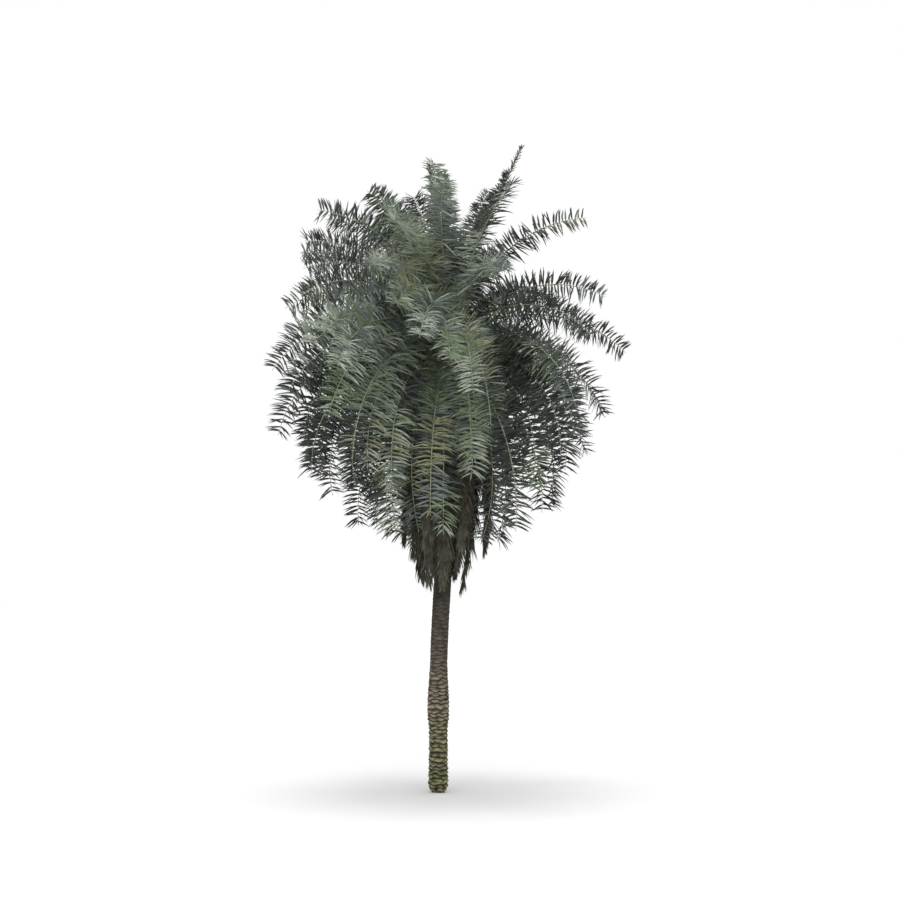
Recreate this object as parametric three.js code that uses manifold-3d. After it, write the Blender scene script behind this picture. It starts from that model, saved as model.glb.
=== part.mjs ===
// A sylvester palm: a slim leaning trunk, a crown of feather fronds and a skirt of dead fronds under it.
// Millimetres, +Z up. The origin is the centre of the flat cut at ground level, +X is the side the crown
// leans to, and -Y is the front.

import * as THREE from "three";
import { mergeVertices } from "three/addons/utils/BufferGeometryUtils.js";
import Module from "manifold-3d";

const wasm = await Module();
wasm.setup();

// Trunk: a bulge a sixth of the way up, then an even stem that leans and stands upright again in the crown.
const HEART_TOP = 8110;
const LEAN = 190;
const LEAN_STARTS = 1600;
const LEAN_ENDS = 6000;
const TRUNK_SIDES = 24;
const STEM_RADIUS = 146;
const HEART_RADIUS = 210;
const HEART_SHOULDER = 60;
const HEART_TOP_RADIUS = 130;
const GIRTH = [
  { height: 0, radius: 152 },
  { height: 45, radius: 168 },
  { height: 130, radius: 172 },
  { height: 550, radius: 162 },
  { height: 1020, radius: 162 },
  { height: 1220, radius: 184 },
  { height: 1500, radius: 184 },
  { height: 1800, radius: 162 },
  { height: 2100, radius: STEM_RADIUS },
  { height: 3300, radius: STEM_RADIUS },
  { height: 4500, radius: STEM_RADIUS },
  { height: 5400, radius: STEM_RADIUS },
  { height: 6050, radius: HEART_RADIUS },
  { height: HEART_TOP - HEART_SHOULDER, radius: HEART_RADIUS },
  { height: HEART_TOP, radius: HEART_TOP_RADIUS },
];

// Living fronds, youngest tier first. Angles are in degrees: rise is the slope where a frond leaves the
// stem, droop is how far it has bent down by its tip, and turn is the heading of a tier's first frond.
// Fronds whose heading has a cosine under paired, so all but those on the right, have a second one fused
// to their foot.
const TIERS = [
  { name: "top", count: 5, turn: 46, seat: 7985, rise: 78, droop: 32, length: 2280, paired: 0.35 },
  { name: "upper", count: 7, turn: 2, seat: 7780, rise: 64, droop: 58, length: 2760, paired: 0.35 },
  { name: "middle", count: 8, turn: -8, seat: 7660, rise: 42, droop: 70, length: 2740, paired: 0.35 },
  { name: "spreading", count: 8, turn: 8, seat: 7550, rise: 24, droop: 74, length: 2920, paired: 0.35 },
  { name: "arching", count: 8, turn: 14, seat: 7430, rise: 8, droop: 82, length: 3300, paired: 1.1 },
  { name: "hanging", count: 9, turn: 10, seat: 7300, rise: -9, droop: 86, length: 3180, paired: 1.1 },
  { name: "lowest", count: 7, turn: 17, seat: 7130, rise: -40, droop: 60, length: 3290, paired: 1.1 },
];

// The fronds stand closer on the left of the crown, by this much of a turn in radians.
const FULLER_LEFT = 0.22;

// A frond that grows out to a side turns its face to the front along its length, by up to this angle.
const FACE_FRONT = 72;

// The second frond of a pair leaves the stem a little below the first, and sweeps aside from it.
const PAIR_STEP = 26;
const PAIR_TURN = 4;
const PAIR_SWEEP = 18;
const PAIR_FALL = 10;

// Dead fronds, which hang round the stem in two rings. Their broad bases clasp it side by side in groups.
const SKIRT_RINGS = [
  { name: "skirt_outer", groups: 3, turn: 90, seat: 6640, rise: -46, droop: 46, length: 2700 },
  { name: "skirt_inner", groups: 3, turn: 30, seat: 6280, rise: -60, droop: 37, length: 2900 },
];
const GROUP_SIZE = 3;
const GROUP_SPREAD = 36;

// Spear leaves: the unopened leaves that stand on the tip of the stem. The oldest leans out the most.
const SPEARS = 3;
const SPEAR_LENGTH = 2900;
const SPEAR_LENGTH_STEP = 400;
const SPEAR_RISE = 68;
const SPEAR_RISE_STEP = 8;
const SPEAR_DROOP = 3;
const SPEAR_TURN = 0;
const SPEAR_RING_RADIUS = 30;
const SPEAR_SEGMENTS = 8;
const SPEAR_LEAFINESS = 0.55;

// One frond. Shares are of its length, and a bend under 1 lies near the foot.
const LIVING_BEND = 1.25;
const DEAD_BEND = 0.35;
const LEAF_BASE_SHARE = 0.07;
const PETIOLE_SHARE = 0.2;
const LEAF_SEGMENTS = 12;
const DEAD_SEGMENTS = 11;
const TIP_SHARE = 0.97;
const BASE_HALF_WIDTH = 38;
const DEAD_BASE_HALF_WIDTH = 80;
const BASE_HALF_HEIGHT = 24;
const PETIOLE_HALF_WIDTH = 26;
const PETIOLE_HALF_HEIGHT = 20;
const RIB_HALF_WIDTH = 11;
const RIB_HALF_HEIGHT = 17;
const TIP_HALF_WIDTH = 4;
const TIP_HALF_HEIGHT = 7;
const LENGTH_VARIES = 0.07;
const LEAFLET_LENGTH = 440;
const FIRST_LEAFLET = 0.5;
const LAST_LEAFLET = 0.55;
const FULL_LEAFLETS_FROM = 0.25;
const LEAFLET_RANKS = [34, 12, 22, 4];
const DEAD_RANK = 0.4;
const LEAFLET_SLANT_FOOT = 80;
const LEAFLET_SLANT_TIP = 58;
const DEAD_SLANT = 17;

// Clearances, the shorter lengths that a crowded leaflet may take, and where its edges are tested.
const SEAT_GAP = 0.3;
const OWN_SPACE = 14;
const TRUNK_SPACE = 40;
const CROWDED_LEAFLETS = [1, 0.85, 0.7, 0.55, 0.4, 0.28];
const EDGE_TESTS = [0.35, 0.7, 1];

// The start of the seeded differences between fronds.
const SEED = 567;

const rad = THREE.MathUtils.degToRad;
const mix = THREE.MathUtils.lerp;

// A repeatable stream of numbers from 0 to 1.
function seededRandom(seed) {
  let state = seed >>> 0;
  return () => {
    state = (state + 0x6d2b79f5) >>> 0;
    let t = Math.imul(state ^ (state >>> 15), state | 1);
    t ^= t + Math.imul(t ^ (t >>> 7), t | 61);
    return ((t ^ (t >>> 14)) >>> 0) / 4294967296;
  };
}

// How far the stem's centre stands to the right at a height.
function leanAt(height) {
  return LEAN * THREE.MathUtils.smoothstep(height, LEAN_STARTS, LEAN_ENDS);
}

// The trunk's radius at a height.
function girthAt(height) {
  const next = GIRTH.findIndex((ring) => ring.height >= height);
  if (next < 1) return HEART_RADIUS;
  const [low, high] = [GIRTH[next - 1], GIRTH[next]];
  return mix(low.radius, high.radius, (height - low.height) / (high.height - low.height));
}

function trunkGeometry() {
  const profile = [new THREE.Vector2(0, 0)];
  for (const { height, radius } of GIRTH) profile.push(new THREE.Vector2(radius, height));
  profile.push(new THREE.Vector2(0, HEART_TOP));
  const geometry = new THREE.LatheGeometry(profile, TRUNK_SIDES).rotateX(Math.PI / 2);
  const position = geometry.getAttribute("position");
  for (let i = 0; i < position.count; i++) {
    position.setX(i, position.getX(i) + leanAt(position.getZ(i)));
  }
  return closed(geometry);
}

// The geometry with only its positions, shared corners merged.
function closed(geometry) {
  const bare = geometry.clone();
  bare.deleteAttribute("normal");
  bare.deleteAttribute("uv");
  return mergeVertices(bare, 1e-3);
}

// How far the faceted stem reaches from its axis towards a heading.
function stemReach(heading) {
  const step = (2 * Math.PI) / TRUNK_SIDES;
  const past = heading / step - Math.round(heading / step);
  return HEART_RADIUS * Math.cos(past * step);
}

// The stations along a frond's rib, each with its place and its own forward, left and up directions. Dead
// fronds hang along the leaning stem.
function ribStations(frond) {
  const shares = [0, LEAF_BASE_SHARE, PETIOLE_SHARE / 2 + LEAF_BASE_SHARE / 2, PETIOLE_SHARE];
  for (let i = 1; i <= frond.segments; i++) {
    shares.push(mix(PETIOLE_SHARE, TIP_SHARE, i / frond.segments));
  }
  shares.push(1);
  const stations = [];
  const place = frond.seat.clone();
  shares.forEach((share, i) => {
    const before = i ? shares[i - 1] : 0;
    place.addScaledVector(forwardAt(frond, (before + share) / 2), (share - before) * frond.length);
    const forward = forwardAt(frond, share);
    const heading = headingAt(frond, share);
    const level = new THREE.Vector3(-Math.sin(heading), Math.cos(heading), 0);
    const left = level.applyAxisAngle(forward, frond.twist * Math.sqrt(share));
    const up = new THREE.Vector3().crossVectors(forward, left);
    stations.push({ share, place: place.clone(), forward, left, up });
    if (frond.dead) stations[i].place.x += leanAt(place.z) - LEAN;
  });
  return stations;
}

function headingAt(frond, share) {
  return frond.heading + frond.sweep * share * share;
}

function forwardAt(frond, share) {
  const slope = frond.rise - frond.droop * share ** frond.bend;
  const heading = headingAt(frond, share);
  return new THREE.Vector3(
    Math.cos(slope) * Math.cos(heading),
    Math.cos(slope) * Math.sin(heading),
    Math.sin(slope),
  );
}

// Half the rib's width and height: a broad leaf base, a petiole and an even taper to the tip.
function ribSize(share, baseHalfWidth) {
  const sizes = [
    [0, baseHalfWidth, BASE_HALF_HEIGHT],
    [LEAF_BASE_SHARE, PETIOLE_HALF_WIDTH, PETIOLE_HALF_HEIGHT],
    [PETIOLE_SHARE, RIB_HALF_WIDTH, RIB_HALF_HEIGHT],
    [1, TIP_HALF_WIDTH, TIP_HALF_HEIGHT],
  ];
  const next = Math.max(1, sizes.findIndex(([end]) => share <= end));
  const [from, to] = [sizes[next - 1], sizes[next]];
  const t = (share - from[0]) / (to[0] - from[0]);
  return [mix(from[1], to[1], t), mix(from[2], to[2], t)];
}

// A leaflet's length, and the angle it stands forward from its rib, at a share of the leafy stretch.
function leafletLength(t) {
  const growing = mix(FIRST_LEAFLET, 1, Math.min(1, t / FULL_LEAFLETS_FROM));
  return LEAFLET_LENGTH * growing * mix(1, LAST_LEAFLET, t ** 3);
}

function leafletSlant(frond, t) {
  return rad(frond.dead ? DEAD_SLANT : mix(LEAFLET_SLANT_FOOT, LEAFLET_SLANT_TIP, t));
}

// A frond as one closed blade: a three-sided rib whose side faces are drawn out into leaflets, and whose
// foot is cut flush with the stem.
function frondGeometry(frond, fronds) {
  const stations = frond.stations;
  const corners = [];
  const faces = [];
  const addCorner = (v) => corners.push(v) - 1;
  const quad = (a, b, c, d) => faces.push(a, b, c, a, c, d);
  const point = (a, b, c, d, tip) => faces.push(a, b, tip, b, c, tip, c, d, tip, d, a, tip);

  const rings = stations.slice(0, -1).map((station) => {
    const [w, h] = ribSize(station.share, frond.baseHalfWidth);
    const at = (side, rise) =>
      station.place.clone().addScaledVector(station.left, side).addScaledVector(station.up, rise);
    return [at(w, h), at(-w, h), at(0, -h)];
  });
  cutFoot(rings[0], frond, stations[0].forward);
  const ids = rings.map((ring) => ring.map(addCorner));

  faces.push(ids[0][0], ids[0][2], ids[0][1]);
  const firstLeaf = stations.length - 2 - frond.segments;
  for (let i = 0; i + 1 < rings.length; i++) {
    const [l0, r0, b0] = ids[i];
    const [l1, r1, b1] = ids[i + 1];
    quad(l0, r0, r1, l1);
    for (const [side, face] of [[1, [l0, l1, b1, b0]], [-1, [r0, b0, b1, r1]]]) {
      const tip = leafletTip(frond, i - firstLeaf, side, rings[i], rings[i + 1], fronds);
      if (tip) point(...face, addCorner(tip));
      else quad(...face);
    }
  }
  const [l, r, b] = ids[ids.length - 1];
  const end = addCorner(stations[stations.length - 1].place);
  faces.push(l, r, end, l, end, b, r, b, end);

  const geometry = new THREE.BufferGeometry().setFromPoints(corners);
  geometry.setIndex(faces);
  return geometry;
}

// Slides the corners of a frond's first ring along the rib until they lie on the plane of its seat.
function cutFoot(ring, frond, forward) {
  const facing = frond.facing;
  for (const corner of ring) {
    const short = frond.seat.clone().sub(corner).dot(facing) / forward.dot(facing);
    corner.addScaledVector(forward, short);
  }
}

// Where a leaflet ends: at its full length, or shorter, so that it stays nearer to its own rib than to any
// other. A leaflet with no room left is skipped.
function leafletTip(frond, leaf, side, ringBefore, ringAfter, fronds) {
  if (leaf < 0) return null;
  const t = leaf / (frond.segments - 1);
  const station = frond.stations[frond.stations.length - 1 - frond.segments + leaf];
  const root = ringBefore.concat(ringAfter).reduce((sum, v) => sum.add(v), new THREE.Vector3());
  root.divideScalar(ringBefore.length + ringAfter.length);
  const corner = side > 0 ? 0 : 1;
  const spread = frond.dead ? DEAD_RANK : 1;
  const rank = rad(LEAFLET_RANKS[(leaf + corner) % LEAFLET_RANKS.length] * spread);
  const slant = leafletSlant(frond, t);
  const out = station.left.clone().multiplyScalar(side * Math.cos(rank));
  out.addScaledVector(station.up, Math.sin(rank));
  const direction = station.forward.clone().multiplyScalar(Math.cos(slant));
  direction.addScaledVector(out, Math.sin(slant));
  for (const share of CROWDED_LEAFLETS) {
    const tip = root.clone().addScaledVector(direction, share * frond.leafiness * leafletLength(t));
    const edges = [ringBefore[corner], ringAfter[corner], root].flatMap((from) =>
      EDGE_TESTS.map((part) => from.clone().lerp(tip, part)),
    );
    if (edges.every((p) => inOwnSpace(p, frond, fronds))) return tip;
  }
  return null;
}

function inOwnSpace(p, frond, fronds) {
  const fromAxis = Math.hypot(p.x - leanAt(p.z), p.y);
  if (p.z < HEART_TOP + TRUNK_SPACE && fromAxis < girthAt(p.z) + TRUNK_SPACE) return false;
  const own = distanceToRib(p, frond);
  return fronds.every(
    (other) =>
      other === frond ||
      other.box.distanceToPoint(p) > own + OWN_SPACE ||
      distanceToRib(p, other) > own + OWN_SPACE,
  );
}

const ribPiece = new THREE.Line3();
const nearest = new THREE.Vector3();

function distanceToRib(p, frond) {
  let least = Infinity;
  for (let i = 0; i + 1 < frond.stations.length; i++) {
    ribPiece.set(frond.stations[i].place, frond.stations[i + 1].place);
    ribPiece.closestPointToPoint(p, true, nearest);
    least = Math.min(least, nearest.distanceTo(p));
  }
  return least;
}

// A frond's place and habit, with small seeded differences from its tier.
function makeFrond(tier, heading, random, kind) {
  const vary = (spread) => (random() * 2 - 1) * spread;
  const turned = heading + rad(vary(kind.stray));
  const frond = {
    heading: turned,
    rise: rad(tier.rise + vary(kind.sway)),
    droop: rad(tier.droop + vary(kind.sway)),
    length: tier.length * (1 + vary(LENGTH_VARIES)),
    sweep: rad(vary(kind.sweep)),
    twist: rad(kind.faceFront * Math.cos(turned) + vary(kind.twist)),
    bend: kind.bend,
    baseHalfWidth: kind.baseHalfWidth,
    segments: kind.segments,
    leafiness: kind.leafiness,
    dead: kind.dead,
    facing: new THREE.Vector3(Math.cos(turned), Math.sin(turned), 0),
  };
  frond.seat = frond.facing.clone().multiplyScalar(stemReach(turned) + SEAT_GAP);
  frond.seat.x += LEAN;
  frond.seat.z = tier.seat;
  return frond;
}

// How much fronds of a kind differ: stray, sway, sweep and twist are the widest differences in degrees.
const LIVING = {
  stray: 7,
  sway: 6,
  sweep: 9,
  twist: 22,
  faceFront: FACE_FRONT,
  bend: LIVING_BEND,
  baseHalfWidth: BASE_HALF_WIDTH,
  segments: LEAF_SEGMENTS,
  leafiness: 1,
  dead: false,
};
const SECOND = { ...LIVING, stray: 1 };
const DEAD = {
  stray: 0,
  sway: 2,
  sweep: 3,
  twist: 8,
  faceFront: 0,
  bend: DEAD_BEND,
  baseHalfWidth: DEAD_BASE_HALF_WIDTH,
  segments: DEAD_SEGMENTS,
  leafiness: 0.9,
  dead: true,
};
const SPEAR = {
  ...DEAD,
  baseHalfWidth: BASE_HALF_WIDTH,
  segments: SPEAR_SEGMENTS,
  leafiness: SPEAR_LEAFINESS,
};

function livingFronds(random) {
  const fronds = [];
  for (const tier of TIERS) {
    for (let i = 0; i < tier.count; i++) {
      const node = `${tier.name}_frond_${i + 1}`;
      const even = rad(tier.turn + (360 * i) / tier.count);
      const first = makeFrond(tier, even + FULLER_LEFT * Math.sin(even), random, LIVING);
      fronds.push({ node, ...first });
      if (Math.cos(even) < tier.paired) fronds.push({ node, ...secondFrond(tier, first, random) });
    }
  }
  return fronds;
}

function secondFrond(tier, first, random) {
  const lower = { ...tier, seat: tier.seat - PAIR_STEP, rise: tier.rise - PAIR_FALL };
  const second = makeFrond(lower, first.heading + rad(PAIR_TURN), random, SECOND);
  second.sweep += rad(PAIR_SWEEP);
  return second;
}

function deadFronds(random) {
  return SKIRT_RINGS.flatMap((ring) =>
    Array.from({ length: ring.groups * GROUP_SIZE }, (_, i) => {
      const group = Math.floor(i / GROUP_SIZE);
      const aside = GROUP_SPREAD * ((i % GROUP_SIZE) - (GROUP_SIZE - 1) / 2);
      const heading = rad(ring.turn + (360 * group) / ring.groups + aside);
      return { node: `${ring.name}_${group + 1}`, ...makeFrond(ring, heading, random, DEAD) };
    }),
  );
}

// The unopened leaves stand close together on the flat top of the stem.
function spearLeaves(random) {
  return Array.from({ length: SPEARS }, (_, i) => {
    const length = SPEAR_LENGTH - SPEAR_LENGTH_STEP * i;
    const rise = SPEAR_RISE + SPEAR_RISE_STEP * i;
    const tier = { seat: HEART_TOP, rise, droop: SPEAR_DROOP, length };
    const heading = rad(SPEAR_TURN + (360 * i) / SPEARS);
    const spear = makeFrond(tier, heading, random, SPEAR);
    spear.facing = new THREE.Vector3(0, 0, 1);
    spear.seat.set(LEAN, 0, HEART_TOP + SEAT_GAP);
    spear.seat.x += SPEAR_RING_RADIUS * Math.cos(spear.heading);
    spear.seat.y += SPEAR_RING_RADIUS * Math.sin(spear.heading);
    return { node: "spear_leaves", ...spear };
  });
}

// A geometry as a solid that can be joined to others, and back.
function solidOf(geometry) {
  const mesh = new wasm.Mesh({
    numProp: 3,
    vertProperties: Float32Array.from(geometry.getAttribute("position").array),
    triVerts: Uint32Array.from(geometry.index.array),
  });
  return new wasm.Manifold(mesh);
}

function geometryOf(solid) {
  const mesh = solid.getMesh();
  const geometry = new THREE.BufferGeometry();
  geometry.setAttribute("position", new THREE.BufferAttribute(mesh.vertProperties, 3));
  return geometry.setIndex(new THREE.BufferAttribute(mesh.triVerts, 1));
}

function joined(geometries) {
  if (geometries.length === 1) return geometries[0];
  return geometryOf(geometries.map(solidOf).reduce((sum, solid) => sum.add(solid)));
}

// Finishes
const bark = new THREE.MeshStandardMaterial({ color: 0x5b5347, roughness: 0.95, metalness: 0 });
const leaf = new THREE.MeshStandardMaterial({ color: 0x4d5648, roughness: 0.7, metalness: 0 });
const young = new THREE.MeshStandardMaterial({ color: 0x6d7455, roughness: 0.7, metalness: 0 });
const dry = new THREE.MeshStandardMaterial({ color: 0x534e42, roughness: 0.9, metalness: 0 });

function addNode(palm, name, geometry, material) {
  const mesh = new THREE.Mesh(geometry, material);
  mesh.name = name;
  palm.add(mesh);
}

function buildPalm() {
  const random = seededRandom(SEED);
  const fronds = [...livingFronds(random), ...deadFronds(random), ...spearLeaves(random)];
  for (const frond of fronds) {
    frond.stations = ribStations(frond);
    frond.box = new THREE.Box3().setFromPoints(frond.stations.map((station) => station.place));
  }
  const palm = new THREE.Group();
  addNode(palm, "trunk", trunkGeometry(), bark);
  for (const node of new Set(fronds.map((frond) => frond.node))) {
    const members = fronds.filter((frond) => frond.node === node);
    const finish = node === "spear_leaves" ? young : members[0].dead ? dry : leaf;
    addNode(palm, node, joined(members.map((frond) => frondGeometry(frond, fronds))), finish);
  }
  return palm;
}

export default buildPalm();
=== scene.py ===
import math

import bmesh
import bpy
import numpy as np
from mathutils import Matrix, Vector, noise
from mathutils.kdtree import KDTree


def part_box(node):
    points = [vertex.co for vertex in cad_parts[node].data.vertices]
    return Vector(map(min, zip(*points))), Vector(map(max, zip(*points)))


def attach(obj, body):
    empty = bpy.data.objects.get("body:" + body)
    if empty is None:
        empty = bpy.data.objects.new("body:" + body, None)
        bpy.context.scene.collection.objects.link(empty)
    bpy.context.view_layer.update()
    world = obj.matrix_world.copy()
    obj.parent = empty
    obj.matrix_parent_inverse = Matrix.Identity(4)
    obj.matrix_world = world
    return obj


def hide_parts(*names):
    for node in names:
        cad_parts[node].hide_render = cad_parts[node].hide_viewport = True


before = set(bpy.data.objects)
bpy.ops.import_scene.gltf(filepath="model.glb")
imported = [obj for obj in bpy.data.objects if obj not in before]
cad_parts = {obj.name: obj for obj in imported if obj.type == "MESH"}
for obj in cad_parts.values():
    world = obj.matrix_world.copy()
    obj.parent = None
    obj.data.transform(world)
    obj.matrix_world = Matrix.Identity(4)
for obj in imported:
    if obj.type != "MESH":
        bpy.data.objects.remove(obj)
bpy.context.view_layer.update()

# Trunk
# The stem of a palm is one column of fibre with no bark of its own: what shows is the scar of each fallen
# frond, a broad uneven ledge with a hollow under it. Moss greens the foot, the newest scars are dark, and the
# stem is cut flat at the ground.
GIRTH_HEIGHTS = (0, 0.045, 0.13, 0.55, 1.02, 1.22, 1.5, 1.8, 2.1, 5.4, 6.05, 8.05, 8.11)
GIRTH_RADII = (0.152, 0.168, 0.172, 0.162, 0.162, 0.184, 0.184, 0.162, 0.146, 0.146, 0.21, 0.21, 0.13)
HEART_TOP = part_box("trunk")[1].z
HEART_RADIUS = 0.21
LEAN = 0.19
LEAN_STARTS = 1.6
LEAN_ENDS = 6.0
TRUNK_SIDES = 128
BARE_STEM_TOP = 5.4
HEART_FROM = 6.05
FINE_ROW = 0.0095
COARSE_ROW = 0.02
SCARS_ROUND = 8
SCAR_PITCH_FOOT = 0.074
SCAR_PITCH_TOP = 0.05
SCAR_FLATNESS = 0.56
SCAR_JITTER = 0.85
SCAR_WAVE = 0.35
WAVES_ROUND = 2
WAVES_UP = 5
SCAR_HOLLOW = 0.36
SCAR_CLEFT = 0.5
SCAR_DEPTH_FOOT = 0.026
SCAR_DEPTH_STEM = 0.007
SCAR_DEPTH_HEART = 0.036
DEEPEST_SCARS_TO = 0.5
DEEP_SCARS_TO = 2.6
LIP_SHARE = 0.7
LIP_FROM = -0.3
LIP_TO = 0.5
FAR = 9.0
FIBRE_ROUGHNESS = 0.0022
FIBRES_ROUND = 22
FIBRES_UP = 48
FOOT_TUCK = 0.034
FOOT_TUCK_HEIGHT = 0.12
SEED = 567


def lean_at(height):
    """How far the stem has leaned to the right at a height."""
    share = np.clip((height - LEAN_STARTS) / (LEAN_ENDS - LEAN_STARTS), 0, 1)
    return LEAN * share * share * (3 - 2 * share)


def girth_at(height):
    """The stem's radius at a height."""
    return np.interp(height, GIRTH_HEIGHTS, GIRTH_RADII)


def smooth_share(low, high, value):
    """From 0 at low to 1 at high, easing in and out."""
    share = np.clip((value - low) / (high - low), 0, 1)
    return share * share * (3 - 2 * share)


def ledges_below(height):
    """How many scars stand one above another below a height: they are closer together higher up."""
    closing = (SCAR_PITCH_TOP / SCAR_PITCH_FOOT - 1) / BARE_STEM_TOP
    return np.log1p(closing * height) / (closing * SCAR_PITCH_FOOT)


def scars_at(turns, heights):
    """How far the surface stands up in its leaf scar, from 0 in a hollow to 1 on a lip."""
    climb = ledges_below(heights)
    across = SCARS_ROUND * turns / (2 * math.pi)
    wave = []
    for turn, height in zip(turns, heights):
        around = WAVES_ROUND * math.cos(turn), WAVES_ROUND * math.sin(turn)
        wave.append(noise.noise(Vector((*around, WAVES_UP * height))))
    climb = climb + SCAR_WAVE * np.array(wave)
    cells = (int(climb.max()) + 4, SCARS_ROUND, 2)
    offsets = np.random.default_rng(SEED).uniform(-0.5, 0.5, cells) * SCAR_JITTER
    distances, rises, rows = [], [], []
    for row_step in (-1, 0, 1):
        row = np.floor(climb).astype(int) + row_step
        stagger = 0.5 * (row % 2)
        for step in (-1, 0, 1):
            column = np.floor(across - stagger).astype(int) + step
            offset = offsets[row + 2, column % SCARS_ROUND]
            aside = across - stagger - column - 0.5 - offset[:, 0]
            rises.append(climb - row - 0.5 - offset[:, 1])
            distances.append(np.hypot(aside * SCAR_FLATNESS, rises[-1]))
            rows.append(row)
    distances, rises, rows = np.array(distances), np.array(rises), np.array(rows)
    own = distances.argmin(0)
    each = np.arange(len(own))
    margin = distances - distances[own, each]
    margin[own, each] = FAR
    beside = rows == rows[own, each]
    hollow = smooth_share(0, SCAR_HOLLOW, np.where(beside, FAR, margin).min(0))
    cleft = smooth_share(0, SCAR_HOLLOW, np.where(beside, margin, FAR).min(0))
    lip = 1 - LIP_SHARE * smooth_share(LIP_FROM, LIP_TO, rises[own, each])
    return hollow * lip * (1 - SCAR_CLEFT * (1 - cleft))


def ride_as(piece, slot, *nodes):
    """Lets a piece stand for CAD nodes, under the root body. Its slot is not used."""
    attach(piece, "root")
    if nodes:
        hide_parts(*nodes)


def node_tree(name, roughness, specular):
    """A new material, with its nodes, links and principled shader."""
    material = bpy.data.materials.new(name)
    material.use_nodes = True
    nodes = material.node_tree.nodes
    shader = nodes["Principled BSDF"]
    shader.inputs["Roughness"].default_value = roughness
    shader.inputs["Specular IOR Level"].default_value = specular
    return material, nodes, material.node_tree.links, shader


def linear(red, green, blue):
    """A colour given as it shows on a screen, from 0 to 255, as the shader takes it."""
    shown = (red / 255, green / 255, blue / 255)
    return tuple(c / 12.92 if c <= 0.04045 else ((c + 0.055) / 1.055) ** 2.4 for c in shown) + (1.0,)


def colour_mix(nodes, links, blend, share, first, second):
    """A node that mixes two colours, by its sockets for colour. Each input takes a value or a socket."""
    mix = nodes.new("ShaderNodeMix")
    mix.data_type = "RGBA"
    mix.blend_type = blend
    for socket, value in ((mix.inputs[0], share), (mix.inputs[6], first), (mix.inputs[7], second)):
        if isinstance(value, bpy.types.NodeSocket):
            links.new(value, socket)
        else:
            socket.default_value = value
    return mix.outputs[2]


def colour_ramp(nodes, links, source, stops):
    """A ramp of (place, colour) stops fed by a socket."""
    ramp = nodes.new("ShaderNodeValToRGB")
    while len(ramp.color_ramp.elements) < len(stops):
        ramp.color_ramp.elements.new(0.5)
    for element, (place, colour) in zip(ramp.color_ramp.elements, stops):
        element.position = place
        element.color = colour
    links.new(source, ramp.inputs[0])
    return ramp.outputs[0]


def noise_field(nodes, links, coordinates, scale, detail, stretch=(1, 1, 1)):
    """A noise on the piece's own coordinates, drawn out by a stretch."""
    mapping = nodes.new("ShaderNodeMapping")
    mapping.inputs["Scale"].default_value = stretch
    links.new(coordinates, mapping.inputs["Vector"])
    field = nodes.new("ShaderNodeTexNoise")
    field.inputs["Scale"].default_value = scale
    field.inputs["Detail"].default_value = detail
    links.new(mapping.outputs["Vector"], field.inputs["Vector"])
    return field.outputs["Fac"]


def bump(nodes, links, shader, height, strength, distance):
    """Fine relief on a shader from a socket."""
    node = nodes.new("ShaderNodeBump")
    node.inputs["Strength"].default_value = strength
    node.inputs["Distance"].default_value = distance
    links.new(height, node.inputs["Height"])
    links.new(node.outputs["Normal"], shader.inputs["Normal"])


bark, nodes, links, shader = node_tree("scarred_stem", roughness=0.92, specular=0.15)
place = nodes.new("ShaderNodeTexCoord").outputs["Object"]
height = nodes.new("ShaderNodeSeparateXYZ")
links.new(place, height.inputs[0])
climb = nodes.new("ShaderNodeMapRange")
climb.inputs["From Max"].default_value = BARE_STEM_TOP
links.new(height.outputs["Z"], climb.inputs["Value"])
stem_colour = colour_ramp(nodes, links, climb.outputs[0], (
    (0.0, linear(144, 147, 108)),
    (0.17, linear(152, 149, 122)),
    (0.26, linear(166, 155, 140)),
    (0.42, linear(114, 106, 97)),
    (0.58, linear(74, 69, 62)),
    (1.0, linear(56, 53, 47)),
))
patches = noise_field(nodes, links, place, scale=7.0, detail=5.0, stretch=(1, 1, 0.6))
patch_tint = colour_ramp(nodes, links, patches, (
    (0.3, linear(150, 148, 140)),
    (0.7, linear(255, 255, 255)),
))
stem_colour = colour_mix(nodes, links, "MULTIPLY", 0.8, stem_colour, patch_tint)
# Painted shade: the scar attribute darkens the colour in the hollows under the ledges. It is full low on the
# stem and half as strong from about 3.2 m up, and the lips keep their colour.
scar = nodes.new("ShaderNodeAttribute")
scar.attribute_name = "scar"
hollow_painted_shade = colour_ramp(nodes, links, scar.outputs["Fac"], (
    (0.0, linear(56, 54, 50)),
    (0.4, linear(160, 157, 152)),
    (1.0, linear(255, 255, 250)),
))
painted_shade_share = colour_ramp(nodes, links, climb.outputs[0], (
    (0.3, (1, 1, 1, 1)),
    (0.6, (0.5, 0.5, 0.5, 1)),
))
stem_colour = colour_mix(nodes, links, "MULTIPLY", painted_shade_share, stem_colour, hollow_painted_shade)
links.new(stem_colour, shader.inputs["Base Color"])
fibres = noise_field(nodes, links, place, scale=60.0, detail=4.0, stretch=(1, 1, 0.25))
bump(nodes, links, shader, fibres, strength=0.5, distance=0.004)

rows = list(np.arange(0, BARE_STEM_TOP, FINE_ROW))
rows += list(np.arange(BARE_STEM_TOP, HEART_TOP, COARSE_ROW))
rows.append(HEART_TOP)
bm = bmesh.new()
profile = [bm.verts.new((float(girth_at(z)), 0, float(z))) for z in rows]
edges = [bm.edges.new(pair) for pair in zip(profile, profile[1:])]
bmesh.ops.spin(bm, geom=profile + edges, cent=(0, 0, 0), axis=(0, 0, 1), angle=2 * math.pi,
               steps=TRUNK_SIDES, use_merge=True)
rims = [edge for edge in bm.edges if edge.is_boundary]
bmesh.ops.holes_fill(bm, edges=rims, sides=0)
bmesh.ops.recalc_face_normals(bm, faces=bm.faces)
scar_layer = bm.verts.layers.float.new("scar")
around = np.array([vert.co for vert in bm.verts])
turns = np.arctan2(around[:, 1], around[:, 0])
heights = around[:, 2]
scars = scars_at(turns, heights)
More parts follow.
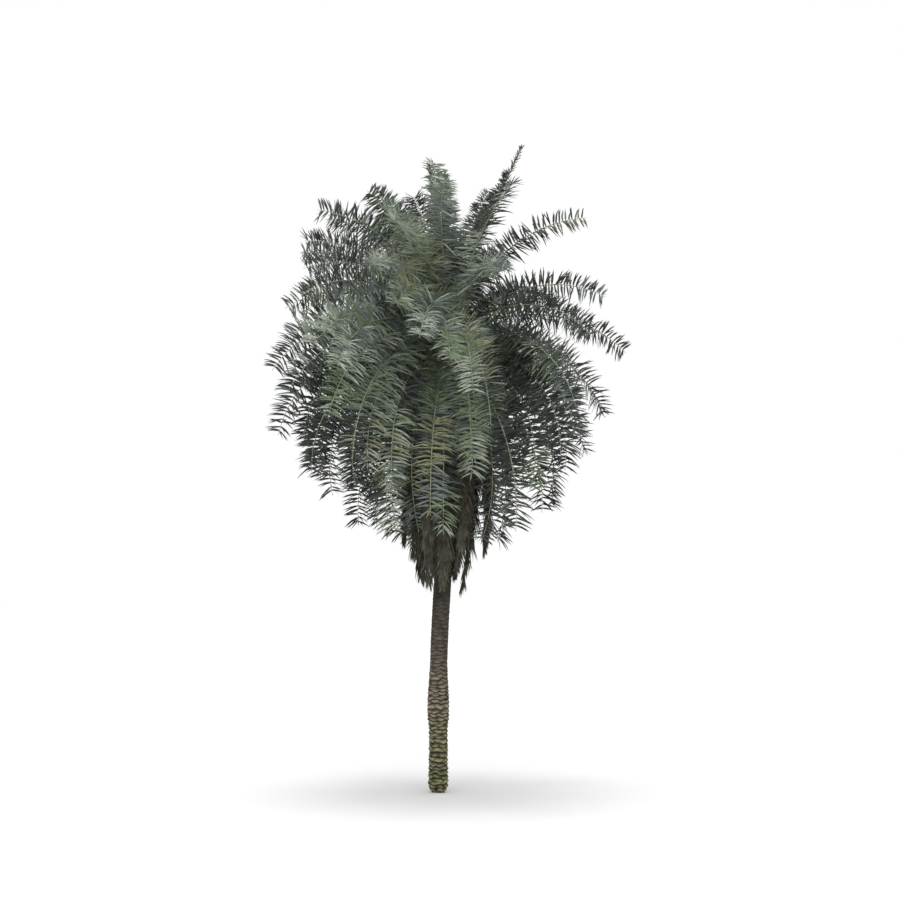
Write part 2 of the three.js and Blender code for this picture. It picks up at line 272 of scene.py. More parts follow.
foot = smooth_share(DEEP_SCARS_TO, DEEPEST_SCARS_TO, heights)
heart = smooth_share(BARE_STEM_TOP, HEART_FROM, heights)
depths = SCAR_DEPTH_STEM + (SCAR_DEPTH_FOOT - SCAR_DEPTH_STEM) * foot
depths = depths + (SCAR_DEPTH_HEART - SCAR_DEPTH_STEM) * heart
tucks = FOOT_TUCK * smooth_share(FOOT_TUCK_HEIGHT, 0, heights)
fibre_places = around * (FIBRES_ROUND, FIBRES_ROUND, FIBRES_UP)
rough = np.array([noise.noise(Vector(fibre_place)) for fibre_place in fibre_places])
radii = np.hypot(around[:, 0], around[:, 1]) - depths * (1 - scars) - tucks + FIBRE_ROUGHNESS * rough
for vert, turn, radius, scar_height in zip(bm.verts, turns, radii, scars):
    vert[scar_layer] = scar_height
    vert.co = (radius * math.cos(turn) + lean_at(vert.co.z), radius * math.sin(turn), vert.co.z)
trunk_mesh = bpy.data.meshes.new("trunk_stem")
bm.to_mesh(trunk_mesh)
bm.free()
trunk_mesh.polygons.foreach_set("use_smooth", [True] * len(trunk_mesh.polygons))
trunk_mesh.materials.append(bark)
trunk = bpy.data.objects.new("trunk_stem", trunk_mesh)
bpy.context.scene.collection.objects.link(trunk)
ride_as(trunk, "bark", "trunk")

# Ribs of the living fronds
# A frond is one leaf. Its rib leaves the stem as a broad base, narrows to a petiole and tapers to the tip,
# arching over under its own weight. The oldest fronds hang lowest, and the left of the crown is the fullest.
TIER_COLUMNS = ("name", "count", "turn", "seat", "rise", "droop", "length", "paired")
TIER_ROWS = (
    ("top", 5, 46, 7.985, 78, 32, 2.28, 0.35),
    ("upper", 7, 2, 7.78, 64, 58, 2.76, 0.35),
    ("middle", 8, -8, 7.66, 42, 70, 2.74, 0.35),
    ("spreading", 8, 8, 7.55, 24, 74, 2.92, 0.35),
    ("arching", 8, 14, 7.43, 8, 82, 3.3, 1.1),
    ("hanging", 9, 10, 7.3, -9, 86, 3.18, 1.1),
    ("lowest", 7, 17, 7.13, -40, 60, 3.29, 1.1),
)
TIERS = [dict(zip(TIER_COLUMNS, row)) for row in TIER_ROWS]
FULLER_LEFT = 0.22
PAIR_STEP = 0.026
PAIR_TURN = 4
PAIR_SWEEP = 18
PAIR_FALL = 10
LENGTH_VARIES = 0.07
LEAF_BASE_SHARE = 0.07
PETIOLE_SHARE = 0.2
RIB_SHARES = (0, LEAF_BASE_SHARE, PETIOLE_SHARE, 1)
RIB_HALF_HEIGHTS = (0.024, 0.02, 0.014, 0.004)
RIB_STEPS = 72
RIB_RINGS = 34
RIB_SIDES = 8
RING_CROWDING = 1.15
RIB_CHANNEL = 0.45
LIVING = {
    "stray": 7,
    "sway": 6,
    "sweep": 9,
    "twist": 22,
    "face_front": 72,
    "bend": 1.25,
    "half_widths": (0.038, 0.026, 0.015, 0.004),
}
SECOND = {**LIVING, "stray": 1}
WORD = 0xFFFFFFFF
DRAW_STEP = 0x6D2B79F5


def seeded_draws(seed):
    """A repeatable stream of numbers from 0 to 1, the same one that the solids are grown by."""
    state = seed
    while True:
        state = (state + DRAW_STEP) & WORD
        mixed = ((state ^ (state >> 15)) * (state | 1)) & WORD
        mixed ^= (mixed + (mixed ^ (mixed >> 7)) * (mixed | 61)) & WORD
        yield (mixed ^ (mixed >> 14)) / (WORD + 1)


draws = seeded_draws(SEED)


def grow(tier, heading, kind):
    """A frond's place and habit, with small seeded differences from its tier."""
    def vary(spread):
        return (next(draws) * 2 - 1) * spread

    heading += math.radians(vary(kind["stray"]))
    frond = {"heading": heading, "kind": kind, "tier": tier["name"]}
    frond["rise"] = math.radians(tier["rise"] + vary(kind["sway"]))
    frond["droop"] = math.radians(tier["droop"] + vary(kind["sway"]))
    frond["length"] = tier["length"] * (1 + vary(LENGTH_VARIES))
    frond["sweep"] = math.radians(vary(kind["sweep"]))
    frond["twist"] = math.radians(kind["face_front"] * math.cos(heading) + vary(kind["twist"]))
    out = np.array((math.cos(heading), math.sin(heading), 0))
    frond["seat"] = out * HEART_RADIUS + (LEAN, 0, tier["seat"])
    return frond


def forward_at(frond, shares):
    """The way a rib runs at shares of its length, and the level direction to its left."""
    slope = frond["rise"] - frond["droop"] * shares ** frond["kind"]["bend"]
    heading = frond["heading"] + frond["sweep"] * shares ** 2
    level = np.stack((-np.sin(heading), np.cos(heading), 0 * heading), 1)
    flat = np.cos(slope)
    return np.stack((flat * np.cos(heading), flat * np.sin(heading), np.sin(slope)), 1), level


def rib_at(frond, shares):
    """The rib's places and its forward, left and up directions at shares of its length."""
    steps = np.linspace(0, 1, RIB_STEPS + 1)
    moves, _ = forward_at(frond, (steps[1:] + steps[:-1]) / 2)
    line = np.vstack((frond["seat"], frond["seat"] + np.cumsum(moves, 0) * frond["length"] / RIB_STEPS))
    places = np.stack([np.interp(shares, steps, line[:, axis]) for axis in range(3)], 1)
    if frond["kind"]["bend"] < 1:
        places[:, 0] += lean_at(places[:, 2]) - LEAN
    forward, level = forward_at(frond, shares)
    turn = (frond["twist"] * np.sqrt(shares))[:, None]
    left = level * np.cos(turn) + np.cross(forward, level) * np.sin(turn)
    return places, forward, left, np.cross(forward, left)


def mesh_piece(name, corners, faces, material, smooth=False):
    """A piece from arrays of corners and of triangles or quads."""
    mesh = bpy.data.meshes.new(name)
    mesh.vertices.add(len(corners))
    mesh.vertices.foreach_set("co", np.asarray(corners, "float32").ravel())
    sides = faces.shape[1]
    mesh.loops.add(faces.size)
    mesh.loops.foreach_set("vertex_index", faces.astype("int32").ravel())
    mesh.polygons.add(len(faces))
    mesh.polygons.foreach_set("loop_start", np.arange(0, faces.size, sides, dtype="int32"))
    mesh.polygons.foreach_set("use_smooth", np.full(len(faces), smooth))
    mesh.update(calc_edges=True)
    mesh.materials.append(material)
    piece = bpy.data.objects.new(name, mesh)
    bpy.context.scene.collection.objects.link(piece)
    return piece


def rib_tube(frond):
    """The corners and quads of one rib, with a channel along its upper side and both ends closed."""
    shares = np.linspace(0, 1, RIB_RINGS) ** RING_CROWDING
    places, forward, left, up = rib_at(frond, shares)
    half_width = np.interp(shares, RIB_SHARES, frond["kind"]["half_widths"])[:, None]
    half_height = np.interp(shares, RIB_SHARES, RIB_HALF_HEIGHTS)[:, None]
    rings = []
    for side in range(RIB_SIDES):
        angle = 2 * math.pi * side / RIB_SIDES
        rise = math.sin(angle) * (RIB_CHANNEL if side == RIB_SIDES // 4 else 1.0)
        rings.append(places + left * half_width * math.cos(angle) + up * half_height * rise)
    corners = np.stack(rings, 1).reshape(-1, 3)
    first = np.arange(RIB_RINGS - 1)[:, None] * RIB_SIDES
    side = np.arange(RIB_SIDES)[None, :]
    following = (side + 1) % RIB_SIDES
    second = first + RIB_SIDES
    quads = np.stack((first + side, first + following, second + following, second + side), 2)
    quads = quads.reshape(-1, 4)
    last = (RIB_RINGS - 1) * RIB_SIDES
    caps = []
    for start, order in ((0, -1), (last, 1)):
        ring = (start + np.arange(RIB_SIDES))[::order]
        caps += [ring[[0, i, i + 1, i + 2]] for i in range(1, RIB_SIDES - 2, 2)]
    return corners, np.vstack((quads, caps))


def joined(parts):
    """Several (corners, faces) parts as one."""
    corners = np.vstack([part[0] for part in parts])
    starts = np.cumsum([0] + [len(part[0]) for part in parts[:-1]])
    faces = np.vstack([part[1] + start for part, start in zip(parts, starts)])
    return corners, faces


rib_green, nodes, links, shader = node_tree("green_rib", roughness=0.5, specular=0.35)
place = nodes.new("ShaderNodeTexCoord").outputs["Object"]
mottle = noise_field(nodes, links, place, scale=5.0, detail=4.0)
rib_colour = colour_ramp(nodes, links, mottle, (
    (0.3, linear(122, 130, 102)),
    (0.7, linear(154, 160, 129)),
))
links.new(rib_colour, shader.inputs["Base Color"])
streaks = noise_field(nodes, links, place, scale=90.0, detail=3.0)
bump(nodes, links, shader, streaks, strength=0.25, distance=0.002)

living = []
for tier in TIERS:
    grown = []
    for i in range(tier["count"]):
        even = math.radians(tier["turn"] + 360 * i / tier["count"])
        first = {**grow(tier, even + FULLER_LEFT * math.sin(even), LIVING), "second": False}
        grown.append(first)
        # On the fuller left, and all round in the lower tiers, a second frond grows close under the first.
        if math.cos(even) < tier["paired"]:
            seat = tier["seat"] - PAIR_STEP
            lower = {**tier, "seat": seat, "rise": tier["rise"] - PAIR_FALL}
            second = grow(lower, first["heading"] + math.radians(PAIR_TURN), SECOND)
            second["sweep"] += math.radians(PAIR_SWEEP)
            grown.append({**second, "second": True})
    tubes = joined([rib_tube(frond) for frond in grown])
    ribs = mesh_piece(tier["name"] + "_ribs", *tubes, rib_green, smooth=True)
    ride_as(ribs, "leaf", *[f"{tier['name']}_frond_{i + 1}" for i in range(tier["count"])])
    living += grown

# Ribs of the dead fronds
# Dead fronds stay on the stem for years. Their broad bases clasp it side by side, and the ribs fold down
# at the petiole and hang close round it, in two rings of nine.
RING_COLUMNS = ("name", "groups", "turn", "seat", "rise", "droop", "length")
RING_ROWS = (
    ("skirt_outer", 3, 90, 6.64, -46, 46, 2.7),
    ("skirt_inner", 3, 30, 6.28, -60, 37, 2.9),
)
SKIRT_RINGS = [dict(zip(RING_COLUMNS, row)) for row in RING_ROWS]
GROUP_SIZE = 3
GROUP_SPREAD = 36
DEAD = {
    "stray": 0,
    "sway": 2,
    "sweep": 3,
    "twist": 8,
    "face_front": 0,
    "bend": 0.35,
    "half_widths": (0.08, 0.026, 0.011, 0.003),
}

rib_brown, nodes, links, shader = node_tree("dry_rib", roughness=0.85, specular=0.15)
place = nodes.new("ShaderNodeTexCoord").outputs["Object"]
mottle = noise_field(nodes, links, place, scale=6.0, detail=5.0)
rib_colour = colour_ramp(nodes, links, mottle, (
    (0.3, linear(96, 84, 66)),
    (0.7, linear(134, 122, 100)),
))
links.new(rib_colour, shader.inputs["Base Color"])
streaks = noise_field(nodes, links, place, scale=80.0, detail=4.0)
bump(nodes, links, shader, streaks, strength=0.35, distance=0.003)

dead = []
for ring in SKIRT_RINGS:
    grown = []
    for i in range(ring["groups"] * GROUP_SIZE):
        group, member = divmod(i, GROUP_SIZE)
        aside = GROUP_SPREAD * (member - (GROUP_SIZE - 1) / 2)
        heading = math.radians(ring["turn"] + 360 * group / ring["groups"] + aside)
        grown.append(grow(ring, heading, DEAD))
    tubes = joined([rib_tube(frond) for frond in grown])
    ribs = mesh_piece(ring["name"] + "_ribs", *tubes, rib_brown, smooth=True)
    ride_as(ribs, "dry_leaf", *[f"{ring['name']}_{i + 1}" for i in range(ring["groups"])])
    dead += grown

# Ribs of the spear leaves
# The three youngest leaves stand upright on the tip of the stem, where they have just grown out of its heart.
# Their ribs are slim, olive and nearly straight, and the one that leans to the right is the longest.
SPEARS = 3
SPEAR_LENGTH = 2.9
SPEAR_LENGTH_STEP = 0.4
SPEAR_RISE = 68
SPEAR_RISE_STEP = 8
SPEAR_TIER = {"name": "spear", "seat": HEART_TOP, "droop": 3}
SPEAR_RING_RADIUS = 0.03
SPEAR = {**DEAD, "half_widths": (0.038, 0.022, 0.012, 0.003)}

rib_olive, nodes, links, shader = node_tree("young_rib", roughness=0.5, specular=0.35)
place = nodes.new("ShaderNodeTexCoord").outputs["Object"]
mottle = noise_field(nodes, links, place, scale=5.0, detail=4.0)
rib_colour = colour_ramp(nodes, links, mottle, (
    (0.3, linear(138, 142, 96)),
    (0.7, linear(170, 166, 118)),
))
links.new(rib_colour, shader.inputs["Base Color"])
streaks = noise_field(nodes, links, place, scale=90.0, detail=3.0)
bump(nodes, links, shader, streaks, strength=0.25, distance=0.002)

spears = []
for i in range(SPEARS):
    rise = SPEAR_RISE + SPEAR_RISE_STEP * i
    length = SPEAR_LENGTH - SPEAR_LENGTH_STEP * i
    tier = {**SPEAR_TIER, "rise": rise, "length": length}
    spear = grow(tier, math.radians(360 * i / SPEARS), SPEAR)
    out = np.array((math.cos(spear["heading"]), math.sin(spear["heading"]), 0))
    spear["seat"] = out * SPEAR_RING_RADIUS + (LEAN, 0, HEART_TOP)
    spears.append(spear)
tubes = joined([rib_tube(spear) for spear in spears])
spear_ribs = mesh_piece("spear_ribs", *tubes, rib_olive, smooth=True)
ride_as(spear_ribs, "young_leaf", "spear_leaves")

# Leaflets of the living fronds
# Each rib carries up to 270 stiff waxy leaflets, folded along their middle. They leave it nearly square in
# tufts of three, each in a plane of its own, and bend down at their ends. A spray is two tufts side by side:
# its upper leaflets have one colour, and its undermost ones another, mostly darker as painted shade.
TUFTS_A_SIDE = 45
LEAFY_FROM = 0.11
LEAFY_TO = 0.985
LEAFLET_LENGTH = 0.45
LONGER_LEFT = 0.1
LONGER_LOWER = 0.08
SHORTER_TOP_RIGHT = 0.5
LENGTH_LOSS = 0.14
MOST_LOSS = 0.5
FIRST_LEAFLET = 0.5
LAST_LEAFLET = 0.5
FULL_LEAFLETS_FROM = 0.25
TIP_SHORTENING = 2.4
LEAFLET_HALF_WIDTH = 0.0116
WIDTH_VARIES = 0.15
WIDER_INSIDE = 0.8
LEAFLET_RANKS = (46, 20, -6)
RANK_VARIES = 12
LEAFLET_SLANT_FOOT = 90
LEAFLET_SLANT_TIP = 79
SLANT_CURVE = 1.5
SLANT_VARIES = 9
MEMBER_VARIES = 0.3
TUFT_SPREAD = 0.08
TUFT_VARIES = 0.12
LEAFLET_CURL = 0.1
CURL_VARIES = 0.5
LEAFLET_SAG = 0.13
SAG_VARIES = 0.4
LEAFLET_FOOT = 0.006
LEAFLET_ROLL = 24
LEAFLET_FOLD = 0.55
BLADE_SHARES = np.array((0.0, 0.14, 0.45, 0.78))
BLADE_WIDTHS = np.array((0.4, 0.95, 1.0, 0.6))
BLADE_MIDDLE = 0.6
CROWDED_LEAFLETS = (1, 0.85, 0.7, 0.55, 0.4, 0.28)
TRUNK_SPACE = 0.04
RIB_SPACE = 0.07
SPRAY = 2
LOWER_TIERS = ("arching", "hanging", "lowest")

chance = np.random.default_rng(SEED)
fronds = living + dead + spears
rib_points = KDTree(len(fronds) * RIB_STEPS)
for number, frond in enumerate(fronds):
    for step, point in enumerate(rib_at(frond, np.linspace(0, 1, RIB_STEPS))[0]):
        rib_points.insert(point, number * RIB_STEPS + step)
rib_points.balance()


def in_own_space(points, number):
    """Whether points lie clear of the stem, and of every rib that is nearer than their own."""
    heights = points[:, 2]
    clear = np.hypot(points[:, 0] - lean_at(heights), points[:, 1]) > girth_at(heights) + TRUNK_SPACE
    clear |= heights > HEART_TOP + TRUNK_SPACE
    for i in np.nonzero(clear)[0]:
        _, nearest, distance = rib_points.find(points[i])
        clear[i] = nearest // RIB_STEPS == number or distance > RIB_SPACE
    return clear


def blades(frond, number, habit):
    """The corners of a frond's leaflets, in a row for each, with their places along the rib and sprays."""
    tufts = habit["tufts"]
    members = len(habit["ranks"])
    side, tuft, member = (grid.ravel() for grid in np.mgrid[0:2, 0:tufts, 0:members])
    size = len(side)

    def differ(spread):
        """Differences that the leaflets of a tuft mostly share."""
        shared = chance.normal(0, spread, (2, tufts, 1)).repeat(members, 2).ravel()
        return shared + chance.normal(0, spread * MEMBER_VARIES, size)

    aside = (member - (members - 1) / 2) * TUFT_SPREAD + differ(TUFT_VARIES)
    along = np.clip((tuft + 0.5 + aside) / tufts, 0, 1)
    places, forward, left, up = rib_at(frond, LEAFY_FROM + along * (LEAFY_TO - LEAFY_FROM))
    rank = np.radians(np.array(habit["ranks"])[member] + differ(habit["rank_varies"]))
    slant = habit["slant_foot"] + (habit["slant_tip"] - habit["slant_foot"]) * along ** SLANT_CURVE
    slant = np.radians(slant + differ(habit["slant_varies"]))
    growing = np.minimum(1, FIRST_LEAFLET + (1 - FIRST_LEAFLET) * along / FULL_LEAFLETS_FROM)
    length = habit["length"] * growing * (1 + (habit["last"] - 1) * along ** TIP_SHORTENING)
    if frond["tier"] in LOWER_TIERS:
        length *= 1 + LONGER_LOWER
    else:
        length *= 1 - LONGER_LEFT * math.cos(frond["heading"])
    if frond["tier"] == "top":
        length *= 1 - SHORTER_TOP_RIGHT * max(0, math.cos(frond["heading"]))
    length *= 1 - np.minimum(MOST_LOSS, np.abs(differ(LENGTH_LOSS)))
    out = left * ((1 - 2 * side) * np.cos(rank))[:, None] + up * np.sin(rank)[:, None]
    direction = forward * np.cos(slant)[:, None] + out * np.sin(slant)[:, None]
    bending = forward * habit["curl"] * (1 + differ(CURL_VARIES))[:, None]
    bending[:, 2] -= habit["sag"] * (1 + differ(SAG_VARIES))
    root = places + out * LEAFLET_FOOT
    reach = np.zeros(size)
    waiting = np.ones(size, bool)
    for share in CROWDED_LEAFLETS:
        reached = (length * share)[:, None]
        tips = root + (direction + bending) * reached
        middles = root + (direction * BLADE_MIDDLE + bending * BLADE_MIDDLE ** 2) * reached
        fits = waiting & in_own_space(tips, number) & in_own_space(middles, number)
        reach[fits] = share
        waiting &= ~fits
    kept = reach > 0
    root, direction, bending, forward = root[kept], direction[kept], bending[kept], forward[kept]
    length = (length * reach)[kept][:, None]
    wide = forward - direction * np.sum(forward * direction, 1)[:, None]
    wide /= np.linalg.norm(wide, axis=1)[:, None]
    normal = np.cross(direction, wide)
    roll = np.radians(chance.normal(0, LEAFLET_ROLL, len(length)))[:, None]
    flat = wide
    wide = flat * np.cos(roll) + normal * np.sin(roll)
    normal = normal * np.cos(roll) - flat * np.sin(roll)
    normal *= np.where(normal[:, 2:] < 0, -1, 1)
    half = habit["half_width"] * chance.uniform(1 - WIDTH_VARIES, 1 + WIDTH_VARIES, len(length))
    half = (half * (1 + WIDER_INSIDE * (1 - along[kept]) ** 2))[:, None]
    rows = []
    for share, width in zip(BLADE_SHARES, BLADE_WIDTHS):
        middle = root + (direction * share + bending * share ** 2) * length
        raised = normal * half * width * LEAFLET_FOLD
        rows += [middle + wide * half * width + raised, middle, middle - wide * half * width + raised]
    rows.append(root + (direction + bending) * length)
    shaded = member == members - 1
    sprays = 2 * (side * tufts + tuft // SPRAY) + shaded
    return np.stack(rows, 1), along[kept], sprays[kept]


def blade_faces():
    """The triangles of one leaflet: folded bands, and a point at the tip."""
    faces = []
    last = 3 * (len(BLADE_SHARES) - 1)
    for row in range(0, last, 3):
        for edge in (0, 1):
            here = row + edge
            beside = here + 1
            faces.append((here, beside, beside + 3))
            faces.append((here, beside + 3, here + 3))
    tip = last + 3
    faces.append((last, last + 1, tip))
    faces.append((last + 1, last + 2, tip))
    return np.array(faces)


BLADE_FACES = blade_faces()


def leaf_piece(name, blocks, material, slot):
    """One piece from blocks of leaflets, with its finish."""
    corners = np.concatenate(blocks)
    starts = np.arange(len(corners)) * corners.shape[1]
    faces = (BLADE_FACES[None] + starts[:, None, None]).reshape(-1, 3)
    piece = mesh_piece(name, corners.reshape(-1, 3), faces, material)
    ride_as(piece, slot)


def leaf_finish(name, dark, light, roughness):
    """A waxy leaf with cloudy differences in its colour and a faint grain."""
    material, nodes, links, shader = node_tree(name, roughness, specular=0.3)
    place = nodes.new("ShaderNodeTexCoord").outputs["Object"]
    cloud = noise_field(nodes, links, place, scale=9.0, detail=3.0)
    tint = colour_ramp(nodes, links, cloud, ((0.32, linear(*dark)), (0.68, linear(*light))))
    links.new(tint, shader.inputs["Base Color"])
    grain = noise_field(nodes, links, place, scale=120.0, detail=2.0)
    bump(nodes, links, shader, grain, strength=0.2, distance=0.001)
    return material


LIVING_HABIT = {
    "tufts": TUFTS_A_SIDE,
    "length": LEAFLET_LENGTH,
    "half_width": LEAFLET_HALF_WIDTH,
    "ranks": LEAFLET_RANKS,
    "rank_varies": RANK_VARIES,
    "slant_foot": LEAFLET_SLANT_FOOT,
    "slant_tip": LEAFLET_SLANT_TIP,
    "slant_varies": SLANT_VARIES,
    "curl": LEAFLET_CURL,
    "sag": LEAFLET_SAG,
    "last": LAST_LEAFLET,
}
LEAF_ROUGHNESS = 0.55
# The palest tint is partly the leaves' waxy bloom and partly a painted highlight. The two darkest tints are
# painted shade.
LEAF_TINTS = {
    "pale_lit": ((128, 138, 125), (173, 180, 164)),
    "grey": ((95, 104, 99), (128, 137, 132)),
    "green": ((94, 108, 86), (130, 144, 113)),
    "olive": ((113, 117, 90), (152, 155, 122)),
    "slate_shade": ((63, 69, 64), (88, 94, 88)),
    "deep_shade": ((41, 47, 42), (62, 69, 62)),
}
# Chances are in the order of the tints above. Most sprays of one stretch of a frond share one draw.
TIER_TINTS = {
    "top": (0.37, 0.4, 0.12, 0.02, 0.06, 0.03),
    "upper": (0.4, 0.42, 0.12, 0.02, 0.03, 0.01),
    "middle": (0.45, 0.37, 0.12, 0.02, 0.03, 0.01),
    "spreading": (0.4, 0.3, 0.22, 0.03, 0.03, 0.02),
    "arching": (0.34, 0.14, 0.34, 0.12, 0.04, 0.02),
    "hanging": (0.3, 0.08, 0.36, 0.24, 0.01, 0.01),
    "lowest": (0.1, 0.1, 0.4, 0.24, 0.1, 0.06),
}
YOUNG_TINTS = (0.34, 0.1, 0.14, 0.42, 0.0, 0.0)
INNER_TINTS = (0.3, 0.3, 0.25, 0.05, 0.07, 0.03)
# Painted shade: the crown's sides and the inner part of the fronds turned to the right draw mostly the darker
# tints.
INNER_RIGHT_SHADE_TINTS = (0.1, 0.22, 0.2, 0.03, 0.27, 0.18)
INNER_END = 0.25
INNER_RIGHT_FROM = 0.4
LEFT_SIDE_SHADE_TINTS = (0.04, 0.14, 0.1, 0.02, 0.34, 0.36)
RIGHT_SIDE_SHADE_TINTS = (0.0, 0.02, 0.03, 0.0, 0.35, 0.6)
# Painted shade: the undermost leaflet of each tuft, and a second frond under its first, draw mostly darker
# tints.
SHADE_TINTS = (0.0, 0.08, 0.22, 0.04, 0.42, 0.24)
SECOND_FROND_SHADE_TINTS = (0.24, 0.14, 0.3, 0.1, 0.14, 0.08)
UPPER_SHADE_TINTS = (0.32, 0.42, 0.16, 0.03, 0.06, 0.01)
YOUNG_TIERS = ("upper", "middle")
YOUNG_HEADINGS = (225, 262)
YOUNG_END = 0.7
RIGHT_EDGE = (0.25, 0.7)
ARCHING_RIGHT_EDGE = (0.45, 0.8)
LEFT_EDGE = (0.55, 0.9)
LEFT_OUTER_END = (0.4, 0.8)
STRETCHES = 4
STRETCH_SHARE = 0.7


def spray_tints(frond, along, shaded):
    """The chances of each tint. As painted shade, the crown's sides, the inner part of fronds turned to the
    right, the undermost leaflets and the second fronds are mostly darker.
    """
    right = math.cos(frond["heading"])
    if along < INNER_END:
        return np.array(INNER_RIGHT_SHADE_TINTS if right > INNER_RIGHT_FROM else INNER_TINTS)
    turned = math.degrees(frond["heading"]) % 360
    faces_young = YOUNG_HEADINGS[0] < turned < YOUNG_HEADINGS[1]
    if frond["tier"] in YOUNG_TIERS and faces_young and along < YOUNG_END:
        return np.array(YOUNG_TINTS)
    lower = frond["tier"] in LOWER_TIERS
    if right > 0:
        edge_shares = ARCHING_RIGHT_EDGE if frond["tier"] == "arching" else RIGHT_EDGE
        side = smooth_share(*edge_shares, right)
    else:
        side = smooth_share(*LEFT_EDGE, -right)
        if not lower:
            side *= smooth_share(*LEFT_OUTER_END, along)
    front = TIER_TINTS[frond["tier"]]
    if shaded:
        front = SHADE_TINTS if lower else UPPER_SHADE_TINTS
    elif frond["second"]:
        front = SECOND_FROND_SHADE_TINTS if lower else UPPER_SHADE_TINTS
    edge = RIGHT_SIDE_SHADE_TINTS if right > 0 or lower else LEFT_SIDE_SHADE_TINTS
    return np.array(front) * (1 - side) + np.array(edge) * side


sprays = {tint: [] for tint in LEAF_TINTS}
for number, frond in enumerate(living):
    corners, along, spray = blades(frond, number, LIVING_HABIT)
    stretches = chance.random((2, STRETCHES))
    for one in np.unique(spray):
        chosen = spray == one
        middle = along[chosen].mean()
        shaded = one % 2
        limits = np.cumsum(spray_tints(frond, middle, shaded))
        drawn = chance.random()
        if chance.random() < STRETCH_SHARE:
            drawn = stretches[shaded, min(STRETCHES - 1, int(middle * STRETCHES))]
        tint = list(LEAF_TINTS)[int(np.searchsorted(limits, drawn * limits[-1]))]
        sprays[tint].append(corners[chosen])
for tint, (dark, light) in LEAF_TINTS.items():
    finish = leaf_finish(f"{tint}_leaf", dark, light, LEAF_ROUGHNESS)
    leaf_piece(f"leaflets_{tint}", sprays[tint], finish, "leaf")

# Leaflets of the dead fronds
# On a dead frond the leaflets dry out and fold down along the rib, still fixed to it by their feet.
# They turn brown first, and then grey, a spray at a time.
DEAD_HABIT = {
    "tufts": 74,
    "length": 0.48,
    "half_width": 0.0105,
    "ranks": (24, 4, -16),
    "rank_varies": 24,
    "slant_foot": 32,
    "slant_tip": 14,
    "slant_varies": 9,
    "curl": 0.05,
    "sag": 0.3,
    "last": 0.3,
}
DEAD_TINTS = {
    "brown": ((56, 53, 44), (88, 84, 71)),
    "ashen": ((64, 66, 57), (98, 100, 87)),
}
BROWN_SHARE = 0.6
DRY_ROUGHNESS = 0.85
sprays = {tint: [] for tint in DEAD_TINTS}
for number, frond in enumerate(dead):
    corners, _, spray = blades(frond, len(living) + number, DEAD_HABIT)
    for one in np.unique(spray):
        tint = chance.choice(list(DEAD_TINTS), p=(BROWN_SHARE, 1 - BROWN_SHARE))
        sprays[tint].append(corners[spray == one])
for tint, (dark, light) in DEAD_TINTS.items():
    finish = leaf_finish(f"{tint}_leaf", dark, light, DRY_ROUGHNESS)
    leaf_piece(f"dead_leaflets_{tint}", sprays[tint], finish, "dry_leaf")

# Leaflets of the spear leaves
# A young leaf's leaflets are short, narrow and dark. They still lean along the rib that they grow from, and
# open a little towards its tip.
SPEAR_HABIT = {
    "tufts": 54,
    "length": 0.26,
    "half_width": 0.008,
    "ranks": (40, 10, -20),
    "rank_varies": 14,
    "slant_foot": 34,
    "slant_tip": 48,
    "slant_varies": 9,
    "curl": 0.02,
    "sag": 0.0,
    "last": 0.4,
}
YOUNG_ROUGHNESS = 0.5
blocks = []
for i, spear in enumerate(spears):
    corners, _, _ = blades(spear, len(living) + len(dead) + i, SPEAR_HABIT)
    blocks.append(corners)
finish = leaf_finish("young_leaf", (52, 58, 47), (82, 89, 72), YOUNG_ROUGHNESS)
leaf_piece("spear_leaflets", blocks, finish, "young_leaf")

# Spines of the petioles
# The lowest leaflets of a living frond are hard spines, in a row on each side of the petiole.
# They grow from the edges of the rib, slant forwards and up, and taper to a point.
SPINES_A_SIDE = 13
SPINES_FROM = LEAF_BASE_SHARE * 1.4
SPINES_TO = PETIOLE_SHARE * 1.05
SPINE_LENGTH = 0.1
SHORTEST_SPINE = 0.5
SPINE_HALF_WIDTH = 0.0035
SPINE_SEAT = 0.9
SPINE_ASIDE = 0.75
SPINE_FORWARD = 0.6
SPINE_RISE = 0.5
SPINE_FACES = np.array(((0, 1, 3), (1, 2, 3), (2, 0, 3), (2, 1, 0)))

blocks = []
for frond in living:
    shares = np.tile(np.linspace(SPINES_FROM, SPINES_TO, SPINES_A_SIDE), 2)
    side = np.repeat((1.0, -1.0), SPINES_A_SIDE)[:, None]
    places, forward, left, up = rib_at(frond, shares)
    width = np.interp(shares, RIB_SHARES, LIVING["half_widths"])[:, None]
    length = SPINE_LENGTH * chance.uniform(SHORTEST_SPINE, 1.0, len(shares))[:, None]
    rise = chance.uniform(0, SPINE_RISE, len(shares))[:, None]
    root = places + left * side * width * SPINE_SEAT
    tip = root + (left * side * SPINE_ASIDE + forward * SPINE_FORWARD + up * rise) * length
    ahead = forward * SPINE_HALF_WIDTH
    blocks.append(np.stack((root + ahead, root + up * SPINE_HALF_WIDTH, root - ahead, tip), 1))
corners = np.concatenate(blocks)
starts = np.arange(len(corners)) * corners.shape[1]
faces = (SPINE_FACES[None] + starts[:, None, None]).reshape(-1, 3)
spines = mesh_piece("petiole_spines", corners.reshape(-1, 3), faces, rib_olive)
ride_as(spines, "leaf")

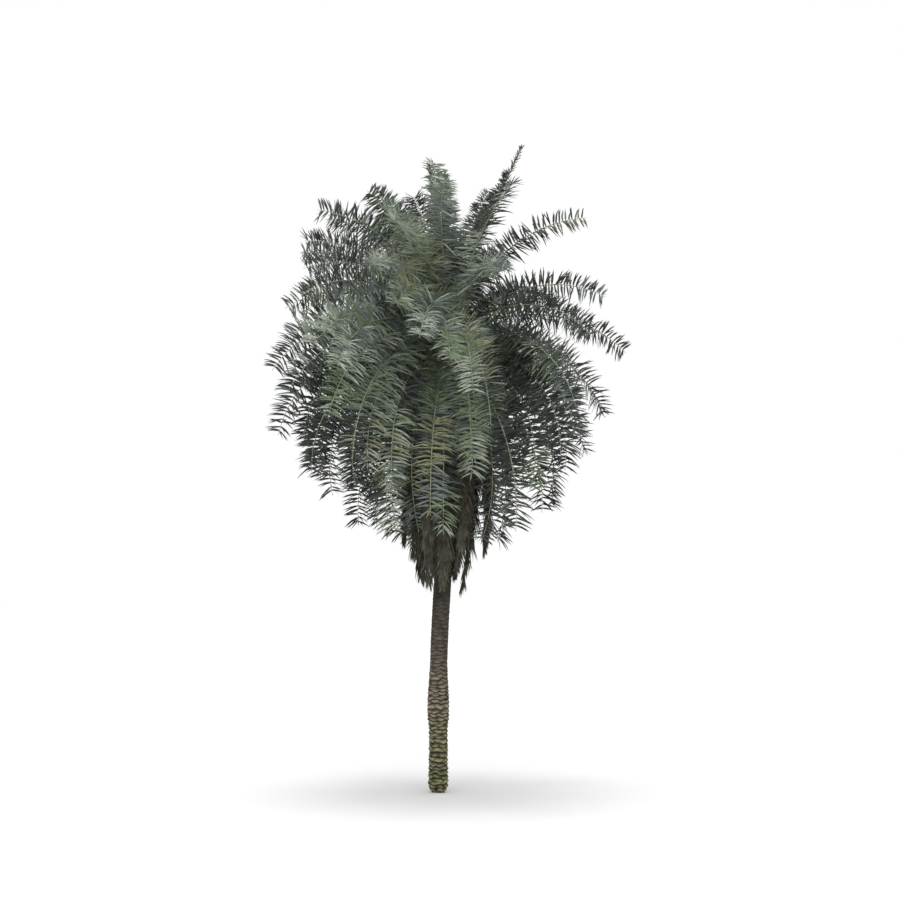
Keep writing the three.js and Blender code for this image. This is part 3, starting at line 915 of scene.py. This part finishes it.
# Floor and light
# A plain pale floor under an even white surround. One broad lamp stands high overhead and gives the soft
# shadow, and a softer one stands in front.
FLOOR_RADIUS = 400.0
FLOOR_SIDES = 96
FLOOR_SHADE = 0.67
bm = bmesh.new()
bmesh.ops.create_circle(bm, cap_ends=True, radius=FLOOR_RADIUS, segments=FLOOR_SIDES)
floor_mesh = bpy.data.meshes.new("floor")
bm.to_mesh(floor_mesh)
bm.free()
floor_paint, nodes, links, shader = node_tree("floor_paint", roughness=1.0, specular=0.0)
shader.inputs["Base Color"].default_value = (FLOOR_SHADE, FLOOR_SHADE, FLOOR_SHADE, 1)
floor_mesh.materials.append(floor_paint)
floor = bpy.data.objects.new("floor", floor_mesh)
bpy.context.scene.collection.objects.link(floor)

world = bpy.data.worlds.new("white_surround")
world.use_nodes = True
surround = world.node_tree.nodes["Background"]
surround.inputs["Color"].default_value = (1, 1, 1, 1)
surround.inputs["Strength"].default_value = 1.0
bpy.context.scene.world = world
bpy.context.scene.view_settings.view_transform = "Standard"

lamp = bpy.data.lights.new("overhead_lamp", "SUN")
lamp.energy = 1.4
lamp.angle = math.radians(24)
overhead = bpy.data.objects.new("overhead_lamp", lamp)
overhead.rotation_euler = (math.radians(-1), math.radians(-2), 0)
bpy.context.scene.collection.objects.link(overhead)

lamp = bpy.data.lights.new("front_lamp", "SUN")
lamp.energy = 1.05
lamp.angle = math.radians(60)
front = bpy.data.objects.new("front_lamp", lamp)
front.rotation_euler = (math.radians(55), 0, 0)
bpy.context.scene.collection.objects.link(front)

# Camera
# It stands in front of the tree, at a little under a third of its height, and looks at the middle of it.
# The whole tree fits the square picture.
CAMERA_DISTANCE = 26.0
CAMERA_HEIGHT = 3.2
PICTURE_WIDTH = 14.85
AIM = Vector((0.19, 0, 5.56))
eye = Vector((AIM.x, -CAMERA_DISTANCE, CAMERA_HEIGHT))
lens = bpy.data.cameras.new("camera")
lens.sensor_width = 36.0
lens.lens = lens.sensor_width * (AIM - eye).length / PICTURE_WIDTH
lens.clip_end = 1000.0
camera = bpy.data.objects.new("camera", lens)
camera.location = eye
camera.rotation_euler = (AIM - eye).to_track_quat("-Z", "Y").to_euler()
bpy.context.scene.collection.objects.link(camera)
bpy.context.scene.camera = camera
